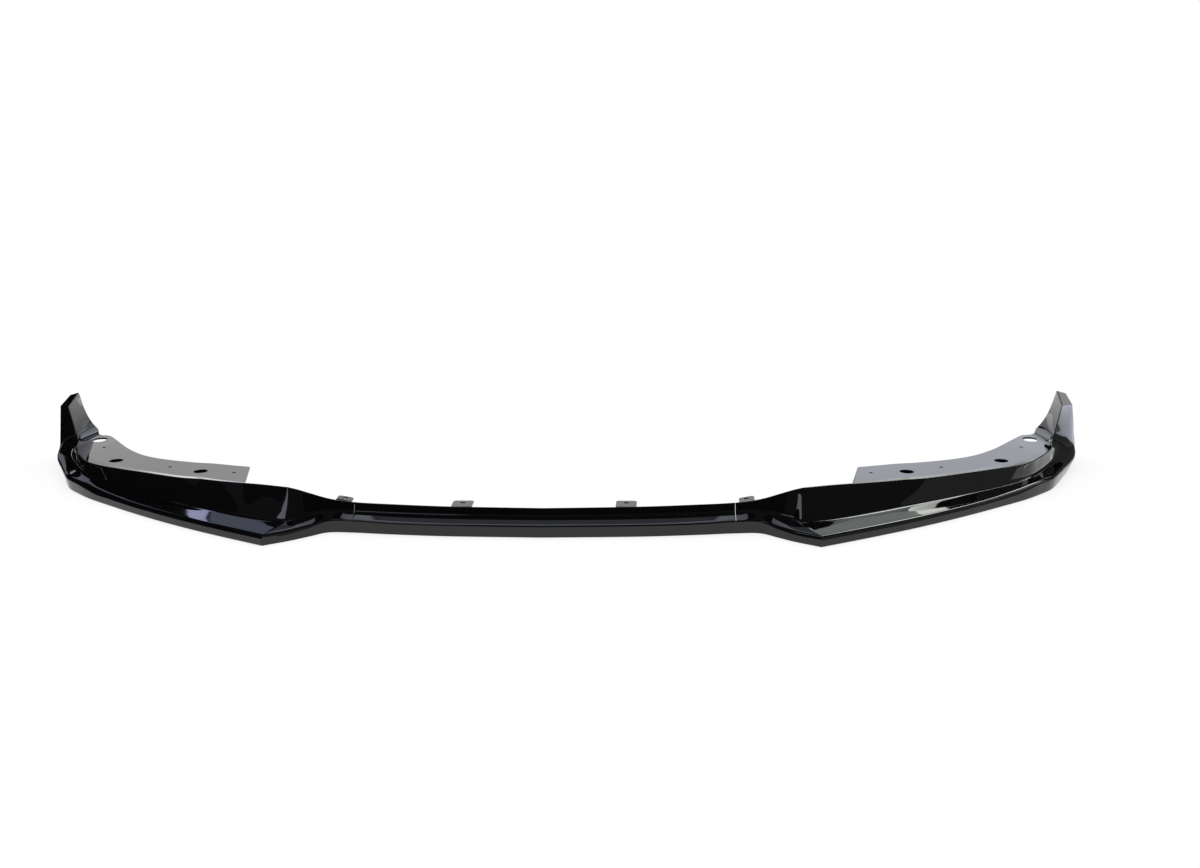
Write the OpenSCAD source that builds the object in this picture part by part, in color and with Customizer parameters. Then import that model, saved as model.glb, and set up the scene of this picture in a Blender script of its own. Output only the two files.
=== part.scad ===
// Front splitter lip in three moulded pieces: a centre section and two mirrored wings.
// X runs across the car, the front faces -Y and Z is up. Z = 0 is the underside, and X = 0, Y = 0
// is the middle of the box that holds the whole lip.

/* [Overall] */
// Half of the width over the rear ends of the wings
half_width = 905; // [865:1:945]
// Depth from the front points to the rear ends
lip_depth = 520; // [490:1:560]
// Distance of each front point from the middle
fang_x = 414; // [400:1:430]
// Distance of each outer corner from the middle
corner_x = 802; // [780:1:815]
// Distance of the outer corners behind the front points
corner_y = 273; // [255:1:290]

/* [Shell] */
// Thickness of the moulded shell
shell_t = 3; // [2.4:0.1:3.6]
// Height of the front face on the wings
wing_face_h = 16; // [14:0.5:18]
// Height of the front face on the centre section
centre_face_h = 18.5; // [16:0.5:20]
// Height of the inner edge of the ledge on the wings
ledge_z = 21.5; // [20:0.5:24]
// Width of the return along the underside
under_return = 26; // [24:1:32]
// Width of the narrow return along the top edge
top_return = 8; // [7:0.5:10]
// Rounding of the lower edge of the front face, and of its upper edge on the centre section
edge_r = 2.6; // [1.5:0.1:3.2]
// Rounding of the upper edge of the front face on the wings
nose_r = 6; // [4:0.5:7]
// Rounding at the foot of the wall
foot_r = 5; // [3:0.5:7]
// Rounding along the top of the wall
rim_r = 2.4; // [1.5:0.1:3]

/* [Centre section] */
// Distance of the middle of the front edge behind the front points
centre_setback = 42; // [34:1:50]
// How far the front edge sweeps back from the middle to the seams
centre_bow = 24; // [16:1:30]
// Depth from the front edge to the foot of the centre wall
centre_ledge = 32; // [30:1:36]
// Height of the foot of the centre wall
centre_foot_z = 24; // [22:0.5:26]
// Height of the top edge of the centre section
centre_top_z = 36; // [34:0.5:39]

/* [Wings] */
// Height of the wall top at the crease above each front point
crease_z = 64; // [60:1:68]
// Height of the mounting flange
flange_z = 50.5; // [48:0.5:53]
// Height of the top of the rear fin
fin_z = 121.5; // [114:0.5:126]
// Distance of the fin's front edge ahead of the rear end
fin_run = 79; // [72:1:86]

/* [Seams] */
// Distance of each upper seam from the middle
seam_x = 292; // [288:1:296]
// How far the centre's front face passes beyond the upper seam
seam_step = 14; // [10:1:16]
// Open gap at the seams
seam_gap = 0.5; // [0.4:0.1:1.2]
// Length of the wing's tongue under the centre section
tongue_l = 46; // [42:1:50]
// Thickness of the tongue
tongue_t = 3; // [2.5:0.1:3.5]
// Play between stacked faces
fit_gap = 0.2; // [0.1:0.05:0.3]

/* [Mounting ears] */
// Distance of the inner ears from the middle
ear_inner_x = 126; // [115:1:140]
// Distance of the outer ears from the middle
ear_outer_x = 308; // [306:1:314]
// Width of an ear
ear_w = 32; // [28:1:36]
// Width of an outer ear
ear_outer_w = 24; // [22:1:26]
// How far an ear reaches behind the top return
ear_reach = 27; // [24:1:30]
// Thickness of an ear
ear_t = 2.4; // [2:0.1:2.8]
// Hole through each ear
ear_hole_d = 8; // [6:0.5:9]
// Corner rounding of an ear
ear_corner_r = 5; // [3:0.5:7]

/* [Flange holes] */
// Diameter of the two clip holes
clip_hole_d = 23; // [20:0.5:24]
// Diameter of the screw holes
screw_hole_d = 6.5; // [5:0.5:8]
// Width of the locating slot
slot_w = 24; // [14:0.5:25]
// Length of the locating slot between its two centres
slot_l = 8; // [4:1:10]
// Rounding of the flange's corner at its inner end
flange_corner_r = 8; // [4:0.5:12]
// Depth of the blind socket under each clip hole
socket_h = 12; // [8:0.5:16]
// Wall of a clip socket
socket_wall = 2; // [1.6:0.1:2.5]

/* [Joint fasteners] */
// Thread diameter of the joint screws
joint_d = 4; // [3.5:0.1:4.5]
// Head diameter of the joint screws
joint_head_d = 8; // [7:0.1:8.5]
// Distance between the two screws of a seam
joint_pitch = 16; // [14:1:18]
// Width across the flats of the nuts
joint_nut_w = 7; // [6.5:0.1:8]
// Height of a nut
joint_nut_h = 3.2; // [2.8:0.1:4]

/* [Hidden] */

// Places along the lip are numbered by the key sections below
CREASE = 7;
FLANGE_START = 9;
FIN_START = 19;
FIN_EDGE = 23;
REAR_END = 24;
SEAM_KEY = 3;
STEPS = 3;

// First section of the wing's neck, inward of the front point
neck_x = fang_x - 86;
neck_top_z = crease_z - 18;
seam_top_z = centre_top_z + 3.5;

// Front edge between the front point and the outer corner, k from 0 to 1
function blade(k) = [fang_x + k * (corner_x - fang_x), (k - 0.057 * sin(180 * k)) * corner_y];

// Front edge of the centre section
function bow(x) = [x, centre_setback + centre_bow * pow(x / 300, 2)];

// Side of the wing, measured inward from the rear end and forward from it
function side(inset, ahead) = [half_width - inset, lip_depth - ahead];

// One key section: front edge at the underside, height and lean of the front face, foot and rim
// as offsets from the front edge with their own heights, and the heading of the section
function key(front, face, lean, foot, rim, heading) = [
    [front[0], front[1], 0],
    [front[0] + foot[0], front[1] + foot[1], foot[2]],
    [front[0] + rim[0], front[1] + rim[1], rim[2]],
    [face, lean, heading]
];

keys = [
    key(bow(0), centre_face_h, 0, [0, centre_ledge, centre_foot_z],
        [0, centre_ledge + 5, centre_top_z], 90),
    key(bow(140), centre_face_h, 0, [0, centre_ledge, centre_foot_z],
        [0, centre_ledge + 6, centre_top_z + 0.5], 90),
    key(bow(230), centre_face_h, 0, [0, centre_ledge - 1, centre_foot_z + 0.5],
        [0, centre_ledge + 5, centre_top_z + 1.5], 90),
    key(bow(seam_x), centre_face_h + 1.5, 0, [0, centre_ledge - 6, centre_foot_z + 2],
        [0, centre_ledge + 1, seam_top_z], 90),
    key([neck_x, centre_setback + centre_bow - 1], wing_face_h + 3.5, 2, [0, 21, 28],
        [1, 29, neck_top_z], 90),
    key([fang_x - 62, 46], wing_face_h + 1, 2, [5, 33, 25.5], [7, 47, crease_z - 9], 92),
    key([fang_x - 36, 24], wing_face_h, 2, [-2, 44, 23], [1, 71, crease_z - 3.5], 95),
    key(blade(0), wing_face_h, 2, [-23.5, 52.5, ledge_z + 0.3], [-19.5, 96, crease_z], 102),
    key(blade(0.106), wing_face_h, 2, [-25, 41, ledge_z - 0.2], [-15, 96, crease_z - 2.5], 108),
    key(blade(0.200), wing_face_h, 2, [-27, 35.5, ledge_z - 0.3], [-17, 92, crease_z - 5], 112),
    key(blade(0.32), wing_face_h, 2, [-33, 29.5, ledge_z - 0.2], [-19, 83, crease_z - 7.5], 114),
    key(blade(0.42), wing_face_h, 2, [-35, 26.5, ledge_z - 0.2], [-20, 76, crease_z - 9.5], 116),
    key(blade(0.53), wing_face_h, 2, [-32.5, 26.5, ledge_z - 0.2], [-24, 60, crease_z - 11], 118),
    key(blade(0.66), wing_face_h, 2, [-26, 27, ledge_z - 0.3], [-23, 48, crease_z - 12], 120),
    key(blade(0.80), wing_face_h + 1, 3, [-24, 21.5, ledge_z + 0.4], [-20, 33, crease_z - 12.5], 123),
    key(blade(0.91), wing_face_h + 3, 3, [-20.5, 16.5, ledge_z + 2.4], [-13.5, 27, flange_z - 0.5], 127),
    key(blade(1) + [-3, 3], wing_face_h + 6, 0, [-17.5, 13.5, ledge_z + 4.6],
        [-14, 19, flange_z - 0.5], 133),
    key(side(82, 216), wing_face_h + 6, -3, [-18, 15, ledge_z + 6], [-18, 19.5, flange_z - 0.5], 145),
    key(side(62, 179), wing_face_h + 6, -4, [-17, 11, ledge_z + 7], [-15.5, 18.5, flange_z - 0.5], 152),
    key(side(46, 145), wing_face_h + 6, -6, [-10, 10, ledge_z + 8], [-15.5, 19.5, flange_z], 158),
    key(side(31.5, 114.5), wing_face_h + 6, -8, [-0.5, 15.5, ledge_z + 8.5],
        [-22, 18, flange_z + 1.5], 166),
    key(side(21, 88), wing_face_h + 6, -10, [7, 16, ledge_z + 9], [-27, 7, flange_z + 8], 174),
    key(side(13, 64), wing_face_h + 6, -10, [9, 10, ledge_z + 9], [-30, -15, fin_z - 41], 180),
    key(side(10, 50), wing_face_h + 5, -9, [9, 5, ledge_z + 9.5], [-27, 50 - fin_run, fin_z - 11], 180),
    key(side(9, 0), wing_face_h + 5, -8, [9, 0, ledge_z + 9.5], [-20, -8, fin_z], 180)
];

// Flange edge from the flange start to the rear end
flange_edge = [
    [fang_x + 83, 258, flange_z + 1],
    [fang_x + 117, 270, flange_z + 0.5],
    [fang_x + 151, 281, flange_z + 0.5],
    [fang_x + 186, 290, flange_z],
    [corner_x - 147, 309, flange_z],
    [corner_x - 102, 335, flange_z],
    [corner_x - 66, 371, flange_z],
    [corner_x - 38, 408, flange_z],
    [corner_x - 16, 440, flange_z],
    [half_width - 95, lip_depth - 47, flange_z - 0.5],
    [half_width - 73, lip_depth - 38, flange_z],
    [half_width - 63, lip_depth - 18, flange_z + 4.5],
    [half_width - 54, lip_depth - 17, flange_z + 15],
    [half_width - 45, lip_depth - 15, flange_z + 29],
    [half_width - 37, lip_depth - 11, flange_z + 46],
    [half_width - 29, lip_depth - 2, fin_z - 8]
];

// The outer top corner of the fin at its front edge and at the rear end
fin_corner = [[half_width - 12, lip_depth - 52, fin_z - 15], [half_width - 11, lip_depth - 2, fin_z - 6]];

function unit(v) = v / norm(v);
function clamp(v) = max(0, min(1, v));
function mix(a, b, k) = a + k * (b - a);
function flip(p) = [-p[0], p[1], p[2]];

// Tangent of a row of values at index i, one-sided at the ends of the run from a to b
function slope(v, i, a, b) =
    i <= a ? (a == 0 ? (v[1] - v[0]) * 0.5 : v[a + 1] - v[a]) :
    i >= b ? v[b] - v[b - 1] :
    (v[i + 1] - v[i - 1]) / 2;

// Cubic through the values between indices a and b, at place s
function glide(v, s, a, b) =
    let (i = min(floor(s), b - 1), u = s - i, m0 = slope(v, i, a, b), m1 = slope(v, i + 1, a, b))
    v[i] * (1 - 3 * u * u + 2 * pow(u, 3)) + m0 * (u - 2 * u * u + pow(u, 3))
    + v[i + 1] * (3 * u * u - 2 * pow(u, 3)) + m1 * (pow(u, 3) - u * u);

// The run of key sections that a place belongs to, from the middle, the crease or the fin edge
function run_start(s) = s < CREASE ? 0 : s < FIN_EDGE ? CREASE : FIN_EDGE;
function run_end(s) = s < CREASE ? CREASE : s < FIN_EDGE ? FIN_EDGE : REAR_END;
function track(column, s) = glide([for (k = keys) k[column]], s, run_start(s), run_end(s));

function flange_at(s) = glide(flange_edge, s - FLANGE_START, 0, len(flange_edge) - 1);

// Corners of the outer surface at place s: return, bottom edge, face top, foot, mid wall, rim,
// flange root and flange edge
function corners(s, wide) =
    let (
        a = track(3, s), h = [cos(a[2]), sin(a[2]), 0], b = track(0, s), w = track(1, s), t = track(2, s),
        late = clamp(s - FIN_EDGE + 1),
        corner = s <= FIN_EDGE ? fin_corner[0] : mix(fin_corner[0], fin_corner[1], s - FIN_EDGE),
        o = mix(mix(w, t, 0.55), corner, late),
        g = wide ? flange_at(s) : t + [0, top_return, -0.4 * top_return],
        k0 = mix(t, g, wide ? mix(0.16, 0.6, late) : 0.5),
        rise = clamp((s - FIN_START) / 2),
        k = wide ? [k0[0], k0[1], mix(mix(t[2], g[2], 0.82), k0[2], rise)] : k0
    )
    [b + under_return * h, b, b + a[1] * h + [0, 0, a[0]], w, o, t, k, g];

// Outward normal of the strip between two corners, from the corners at two places
function strip_normal(p, q, j) =
    unit(cross(q[j] - p[j] + q[j + 1] - p[j + 1], p[j + 1] - p[j] + q[j + 1] - q[j]));

// Half of the run along the lip that the normals are taken over
near = 0.12;

// Corner list set back from the outer surface by a depth, also downward where the fin's cap starts
function sunk(s, wide, depth) =
    let (
        lo = max(s - near, wide ? FLANGE_START : 0),
        hi = s == FIN_EDGE ? s : min(s + near, wide || s > FLANGE_START ? REAR_END : FLANGE_START),
        c = corners(s, wide), p = corners(lo, wide), q = corners(hi, wide), last = len(c) - 1,
        n = [for (j = [0:last - 1]) strip_normal(p, q, j)]
    )
    [for (j = [0:last])
        let (n0 = n[max(j - 1, 0)], n1 = n[min(j, last - 1)], drop = s == FIN_EDGE && j > 3 ? depth : 0)
        c[j] - depth * (n0 + n1) / max(1 + n0 * n1, 0.7) - [0, 0, drop]];

// Rounds the corners of a section line with two or three points each
function rounded(c, radii, grow) =
    [for (j = [0:len(c) - 1])
        let (r = j == 0 || j == len(c) - 1 ? 0 : radii[j])
        each r == 0 ? [c[j]] :
            let (
                u0 = c[j - 1] - c[j], u1 = c[j + 1] - c[j],
                d = min(max(r + grow[j], 0.4), 0.42 * norm(u0), 0.42 * norm(u1)),
                p0 = c[j] + d * unit(u0), p1 = c[j] + d * unit(u1)
            )
            [p0, (p0 + 2 * c[j] + p1) / 4, p1]];

// Rounding of each corner at place s, and whether the corner stands out or lies in
root_r = 3;
function radii(s) =
    let (upper = mix(edge_r, nose_r, clamp((s - SEAM_KEY - 1) / 2)))
    [0, edge_r, upper, foot_r, 0, rim_r, root_r, 0];
convex = [0, -1, -1, 1, 0, -1, 1, 0];

// One closed ring of the shell between two depths below the outer surface
function ring(s, wide, top, bottom) = concat(
    rounded(sunk(s, wide, top), radii(s), convex * top),
    reverse(rounded(sunk(s, wide, bottom), radii(s), convex * bottom))
);
function reverse(v) = [for (i = [len(v) - 1:-1:0]) v[i]];

// Solid through a list of equal rings
module loft(rings) {
    m = len(rings[0]);
    n = len(rings);
    half = m / 2;
    sides = [for (i = [0:n - 2], j = [0:m - 1]) each
        let (a = i * m + j, b = i * m + (j + 1) % m)
        [[a, b, a + m], [b, b + m, a + m]]];
    caps = [for (j = [0:half - 2]) each
        let (a = j, b = j + 1, c = m - 2 - j, d = m - 1 - j, e = (n - 1) * m)
        [[a, d, b], [b, d, c], [e + a, e + b, e + d], [e + b, e + c, e + d]]];
    polyhedron(points = [for (r = rings) each r], faces = concat(sides, caps), convexity = 8);
}

function places(a, b) = [for (i = [0:round((b - a) * STEPS)]) a + i / STEPS];

module place_in_box() {
    translate([0, -lip_depth / 2, 0]) children();
}

// Centre section shell, mirrored about the middle, out to the lower seams
function centre_rings() =
    let (
        last = SEAM_KEY + seam_step / (neck_x - seam_x),
        half = [for (s = concat(places(0, SEAM_KEY), [last])) ring(s, false, 0, shell_t)]
    )
    concat([for (i = [len(half) - 1:-1:1]) [for (p = half[i]) flip(p)]], half);

// Wing shell, with the narrow return up to the flange start and the flange behind it
flange_end_run = 0.02;
function wing_rings() =
    let (behind = [for (s = places(FLANGE_START, REAR_END)) max(s, FLANGE_START + flange_end_run)])
    concat(
        [for (s = places(SEAM_KEY, FLANGE_START)) ring(s, false, 0, shell_t)],
        [for (s = behind) ring(s, true, 0, shell_t)]
    );

// Heights and places that the seam pieces share
tongue_edge = 6;
tongue_foot_l = 12;
tongue_back_l = 14;
split_z = centre_face_h + 0.5;
lower_seam_x = seam_x + seam_step;
seam_y = bow(lower_seam_x)[1];
tongue_z = shell_t + fit_gap;
tongue_w = under_return - shell_t - tongue_edge;
tongue_y = seam_y + shell_t + 2 + tongue_w / 2;
joint_x = [for (i = [0, 1]) lower_seam_x - tongue_l / 2 - 4 + (i - 0.5) * joint_pitch];
nut_z = tongue_z + tongue_t + fit_gap;
head_h = (joint_head_d - joint_d) / 2;
hole_play = 0.5;

// Where the ears spring from the top return
ear_drop = 2.6;
ear_overlap = 5;
ear_y = bow(ear_inner_x)[1] + centre_ledge + 6 + top_return;
outer_ear_root = track(2, SEAM_KEY + (ear_outer_x - seam_x) / (neck_x - seam_x));
outer_ear_tilt = atan((neck_top_z - seam_top_z) / (neck_x + 1 - seam_x));
outer_ear_reach = ear_reach - 6;

// Holes of the mounting flange: place along the lip, share of the flange's width, and diameter
clip_holes = [[11.32, 0.5, clip_hole_d], [14.75, 0.38, clip_hole_d]];
screw_holes = [
    [9.69, 0.62, screw_hole_d],
    [12.64, 0.58, screw_hole_d],
    [16.85, 0.61, screw_hole_d],
    [19.35, 0.3, screw_hole_d]
];
slot_at = [18.17, 0.72];
// How far the cutters reach to either side of the flange
cut_reach = 9;
function flange_point(at) = mix(track(2, at[0]), flange_at(at[0]), at[1]);

$fn = 48;

// Flat ear with a hole, rooted at the origin and pointing back
module ear(w, reach, root) {
    difference() {
        union() {
            translate([-w / 2, -root, 0]) cube([w, root + reach - ear_corner_r, ear_t]);
            translate([-w / 2 + ear_corner_r, 0, 0]) cube([w - 2 * ear_corner_r, reach, ear_t]);
            for (side = [-1, 1])
                translate([side * (w / 2 - ear_corner_r), reach - ear_corner_r, 0])
                    cylinder(r = ear_corner_r, h = ear_t);
        }
        translate([0, reach / 2 + 1, -1]) cylinder(d = ear_hole_d, h = ear_t + 2);
    }
}

// Room cut away above and outside the upper seam, or below and inside the lower one
module beyond_upper_seam(play) {
    translate([seam_x + play, -lip_depth, split_z + play]) cube([half_width, 2 * lip_depth, fin_z]);
}
module inside_seams(play) {
    translate([-half_width, -lip_depth, -1]) {
        cube([half_width + lower_seam_x + play, 2 * lip_depth, split_z + play + 1]);
        cube([half_width + seam_x + play, 2 * lip_depth, fin_z]);
    }
}

module joint_holes(z, h, play) {
    for (x = joint_x) translate([x, tongue_y, z]) cylinder(d = joint_d + play, h = h);
}

module countersinks() {
    for (x = joint_x)
        translate([x, tongue_y, -0.01])
            cylinder(d1 = joint_head_d + hole_play, d2 = joint_d + hole_play, h = head_h + 0.01);
}

module centre_section() {
    color("#17181b") place_in_box() {
        difference() {
            loft(centre_rings());
            for (m = [0, 1]) mirror([m, 0, 0]) {
                beyond_upper_seam(-seam_gap / 2);
                joint_holes(-1, shell_t + 2, hole_play);
                countersinks();
            }
        }
        for (side = [-1, 1])
            translate([side * ear_inner_x, ear_y, centre_top_z - ear_drop])
                ear(ear_w, ear_reach, ear_overlap);
    }
}

// Tongue that lies on the centre's under return, with its foot in the wing
module tongue() {
    difference() {
        union() {
            translate([lower_seam_x - tongue_l, tongue_y - tongue_w / 2, tongue_z])
                cube([tongue_l + tongue_back_l, tongue_w, tongue_t]);
            translate([lower_seam_x + tongue_back_l - tongue_foot_l, tongue_y - tongue_w / 2, shell_t / 2])
                cube([tongue_foot_l, tongue_w, tongue_z]);
        }
        joint_holes(tongue_z - 1, tongue_t + 2, hole_play);
    }
}

// Closed cup under a clip hole, before its bore is cut
module socket(at) {
    translate(flange_point(at) - [0, 0, socket_h + socket_wall])
        cylinder(d = at[2] + 2 * socket_wall, h = socket_h + socket_wall - shell_t / 2);
}

// Sliver outside the rounded corner at the flange's inner end
module flange_corner() {
    c = flange_at(FLANGE_START);
    u = unit(flange_at(FLANGE_START + 0.3) - c);
    v = unit(track(2, FLANGE_START) - c);
    middle = c + flange_corner_r / norm(cross(u, v)) * (u + v);
    d = (middle - c) * u;
    beyond = 2 * (u + v);
    outline = [c + d * v, c + d * v - 2 * u, c - beyond, c + d * u - 2 * v, c + d * u, middle];
    translate([0, 0, c[2] - cut_reach]) linear_extrude(2 * cut_reach) difference() {
        polygon([for (p = outline) [p[0], p[1]]]);
        translate([middle[0], middle[1]]) circle(r = flange_corner_r);
    }
}

// What is cut away from the flange
module flange_cuts() {
    flange_corner();
    for (at = clip_holes)
        translate(flange_point(at) - [0, 0, socket_h]) cylinder(d = at[2], h = socket_h + cut_reach);
    for (at = screw_holes)
        translate(flange_point(at) - [0, 0, cut_reach]) cylinder(d = at[2], h = 2 * cut_reach);
    translate(flange_point(slot_at) - [0, 0, cut_reach]) {
        for (end = [-1, 1]) translate([0, end * slot_l / 2, 0]) cylinder(d = slot_w, h = 2 * cut_reach);
        translate([-slot_w / 2, -slot_l / 2, 0]) cube([slot_w, slot_l, 2 * cut_reach]);
    }
}

// Wing with its tongue and its ear, built on the right
module right_wing() {
    color("#1b1c20") place_in_box() {
        difference() {
            union() {
                loft(wing_rings());
                for (at = clip_holes) socket(at);
            }
            inside_seams(seam_gap / 2);
            flange_cuts();
        }
        tongue();
        translate(outer_ear_root + [0, top_return, -ear_drop - ear_t / 2])
            rotate([0, -outer_ear_tilt, 0])
                ear(ear_outer_w, outer_ear_reach, ear_overlap);
    }
}
module left_wing() {
    mirror([1, 0, 0]) right_wing();
}

// Countersunk screw, head flush with the underside
module joint_screw() {
    cylinder(d1 = joint_head_d, d2 = joint_d, h = head_h);
    cylinder(d = joint_d, h = nut_z + joint_nut_h + 1);
}
module joint_screws() {
    color("#3a3b3f") place_in_box()
        for (m = [0, 1], x = joint_x) mirror([m, 0, 0])
            translate([x, tongue_y, 0.1]) joint_screw();
}
module joint_nuts() {
    color("#8b8d91") place_in_box()
        for (m = [0, 1], x = joint_x) mirror([m, 0, 0])
            translate([x, tongue_y, nut_z])
                difference() {
                    cylinder(d = joint_nut_w / cos(30), h = joint_nut_h, $fn = 6);
                    translate([0, 0, -1]) cylinder(d = joint_d + 0.1, h = joint_nut_h + 2);
                }
}

centre_section();
left_wing();
right_wing();
joint_screws();
joint_nuts();
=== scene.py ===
"""Looks of a front splitter lip: gloss black shells, their joints, and a plain studio round them.

The lip line below repeats the key sections of the part's source, in millimetres with y = 0 at the
front points, and place() turns them into the row frame in metres.
"""

import logging
import math
from collections.abc import Callable, Sequence
from dataclasses import dataclass, field
from enum import Enum

import bpy
from mathutils import Matrix, Vector


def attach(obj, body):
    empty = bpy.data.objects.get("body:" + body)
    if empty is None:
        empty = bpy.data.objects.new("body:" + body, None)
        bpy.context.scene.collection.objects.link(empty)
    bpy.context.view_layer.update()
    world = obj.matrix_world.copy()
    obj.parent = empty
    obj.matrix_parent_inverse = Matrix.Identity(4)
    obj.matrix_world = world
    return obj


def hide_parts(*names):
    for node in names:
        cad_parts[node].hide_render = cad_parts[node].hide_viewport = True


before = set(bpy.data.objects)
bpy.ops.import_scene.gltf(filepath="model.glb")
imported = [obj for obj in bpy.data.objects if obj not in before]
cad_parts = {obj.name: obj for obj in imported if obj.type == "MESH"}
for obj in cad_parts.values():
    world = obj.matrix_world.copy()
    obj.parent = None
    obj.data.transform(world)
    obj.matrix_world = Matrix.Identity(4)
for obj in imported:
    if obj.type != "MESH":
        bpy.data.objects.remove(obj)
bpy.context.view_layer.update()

MM = 0.001
log = logging.getLogger("lip")


class Side(Enum):
    """Which wing, by the sign of its x."""

    LEFT = -1
    RIGHT = 1


def clamp(value: float, low: float = 0.0, high: float = 1.0) -> float:
    """Returns value held between low and high."""
    return max(low, min(high, value))


def mix(a: Vector, b: Vector, share: float) -> Vector:
    """Returns the point that lies share of the way from a to b."""
    return a + share * (b - a)


@dataclass(frozen=True)
class Key:
    """One key section of the lip."""

    front: Vector
    face: float
    lean: float
    foot: Vector
    rim: Vector
    heading: float


@dataclass
class LipLine:
    """The driving line of the lip, in millimetres."""

    half_width: float = 905.0
    depth: float = 520.0
    fang_x: float = 414.0
    corner_x: float = 802.0
    corner_y: float = 273.0
    shell: float = 3.0
    wing_face: float = 16.0
    centre_face: float = 18.5
    ledge_z: float = 21.5
    under_return: float = 26.0
    top_return: float = 8.0
    edge_r: float = 2.6
    nose_r: float = 6.0
    foot_r: float = 5.0
    rim_r: float = 2.4
    fin_rim_r: float = 3.2
    setback: float = 42.0
    bow_rise: float = 24.0
    centre_ledge: float = 32.0
    centre_foot: float = 24.0
    centre_top: float = 36.0
    crease_z: float = 64.0
    flange_z: float = 50.5
    fin_z: float = 121.5
    fin_run: float = 79.0
    seam_x: float = 292.0
    seam_step: float = 14.0
    crease: int = 7
    flange_start: int = 9
    fin_edge: int = 23
    rear_end: int = 24
    seam_key: int = 3
    crease_soft: float = 0.36
    columns: list[list[Vector]] = field(init=False)
    flange_edge: list[Vector] = field(init=False)

    def __post_init__(self) -> None:
        """Works the key sections out once."""
        keys = self.keys()
        self.columns = [
            [k.front for k in keys],
            [k.foot for k in keys],
            [k.rim for k in keys],
            [Vector((k.face, k.lean, k.heading)) for k in keys],
        ]
        self.flange_edge = self.edge_points()

    def blade(self, share: float) -> tuple[float, float]:
        """Returns the front edge between the front point and the outer corner."""
        bend = share - 0.057 * math.sin(math.pi * share)
        return self.fang_x + share * (self.corner_x - self.fang_x), bend * self.corner_y

    def bow(self, x: float) -> tuple[float, float]:
        """Returns the front edge of the centre section at x."""
        return x, self.setback + self.bow_rise * (x / 300) ** 2

    def side(self, inset: float, ahead: float) -> tuple[float, float]:
        """Returns a point measured inward and forward from the rear end."""
        return self.half_width - inset, self.depth - ahead

    def keys(self) -> list[Key]:
        """Returns the key sections from the middle to the rear end."""

        def key(
            front: tuple[float, float],
            face: float,
            lean: float,
            foot: Sequence[float],
            rim: Sequence[float],
            heading: float,
        ) -> Key:
            """Returns a key section whose foot and rim are measured from its front edge."""
            x, y = front
            return Key(
                Vector((x, y, 0)),
                face,
                lean,
                Vector((x + foot[0], y + foot[1], foot[2])),
                Vector((x + rim[0], y + rim[1], rim[2])),
                heading,
            )

        w, c, lz, cz, fz = self.wing_face, self.centre_face, self.ledge_z, self.crease_z, self.flange_z
        cl, cf, ct = self.centre_ledge, self.centre_foot, self.centre_top
        return [
            key(self.bow(0), c, 0, (0, cl, cf), (0, cl + 5, ct), 90),
            key(self.bow(140), c, 0, (0, cl, cf), (0, cl + 6, ct + 0.5), 90),
            key(self.bow(230), c, 0, (0, cl - 1, cf + 0.5), (0, cl + 5, ct + 1.5), 90),
            key(self.bow(self.seam_x), c + 1.5, 0, (0, cl - 6, cf + 2), (0, cl + 1, ct + 3.5), 90),
            key((self.fang_x - 86, self.setback + self.bow_rise - 1), w + 3.5, 2, (0, 21, 28), (1, 29, cz - 18), 90),
            key((self.fang_x - 62, 46), w + 1, 2, (5, 33, 25.5), (7, 47, cz - 9), 92),
            key((self.fang_x - 36, 24), w, 2, (-2, 44, 23), (1, 71, cz - 3.5), 95),
            key(self.blade(0), w, 2, (-23.5, 52.5, lz + 0.3), (-19.5, 96, cz), 102),
            key(self.blade(0.106), w, 2, (-25, 41, lz - 0.2), (-15, 96, cz - 2.5), 108),
            key(self.blade(0.2), w, 2, (-27, 35.5, lz - 0.3), (-17, 92, cz - 5), 112),
            key(self.blade(0.32), w, 2, (-33, 29.5, lz - 0.2), (-19, 83, cz - 7.5), 114),
            key(self.blade(0.42), w, 2, (-35, 26.5, lz - 0.2), (-20, 76, cz - 9.5), 116),
            key(self.blade(0.53), w, 2, (-32.5, 26.5, lz - 0.2), (-24, 60, cz - 11), 118),
            key(self.blade(0.66), w, 2, (-26, 27, lz - 0.3), (-23, 48, cz - 12), 120),
            key(self.blade(0.8), w + 1, 3, (-24, 21.5, lz + 0.4), (-20, 33, cz - 12.5), 123),
            key(self.blade(0.91), w + 3, 3, (-20.5, 16.5, lz + 2.4), (-13.5, 27, fz - 0.5), 127),
            key((self.corner_x - 3, self.corner_y + 3), w + 6, 0, (-17.5, 13.5, lz + 4.6), (-14, 19, fz - 0.5), 133),
            key(self.side(82, 216), w + 6, -3, (-18, 15, lz + 6), (-18, 19.5, fz - 0.5), 145),
            key(self.side(62, 179), w + 6, -4, (-17, 11, lz + 7), (-15.5, 18.5, fz - 0.5), 152),
            key(self.side(46, 145), w + 6, -6, (-10, 10, lz + 8), (-15.5, 19.5, fz), 158),
            key(self.side(31.5, 114.5), w + 6, -8, (-0.5, 15.5, lz + 8.5), (-22, 18, fz + 1.5), 166),
            key(self.side(21, 88), w + 6, -10, (7, 16, lz + 9), (-27, 7, fz + 8), 174),
            key(self.side(13, 64), w + 6, -10, (9, 10, lz + 9), (-30, -15, self.fin_z - 41), 180),
            key(self.side(10, 50), w + 5, -9, (9, 5, lz + 9.5), (-27, 50 - self.fin_run, self.fin_z - 11), 180),
            key(self.side(9, 0), w + 5, -8, (9, 0, lz + 9.5), (-20, -8, self.fin_z), 180),
        ]

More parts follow.
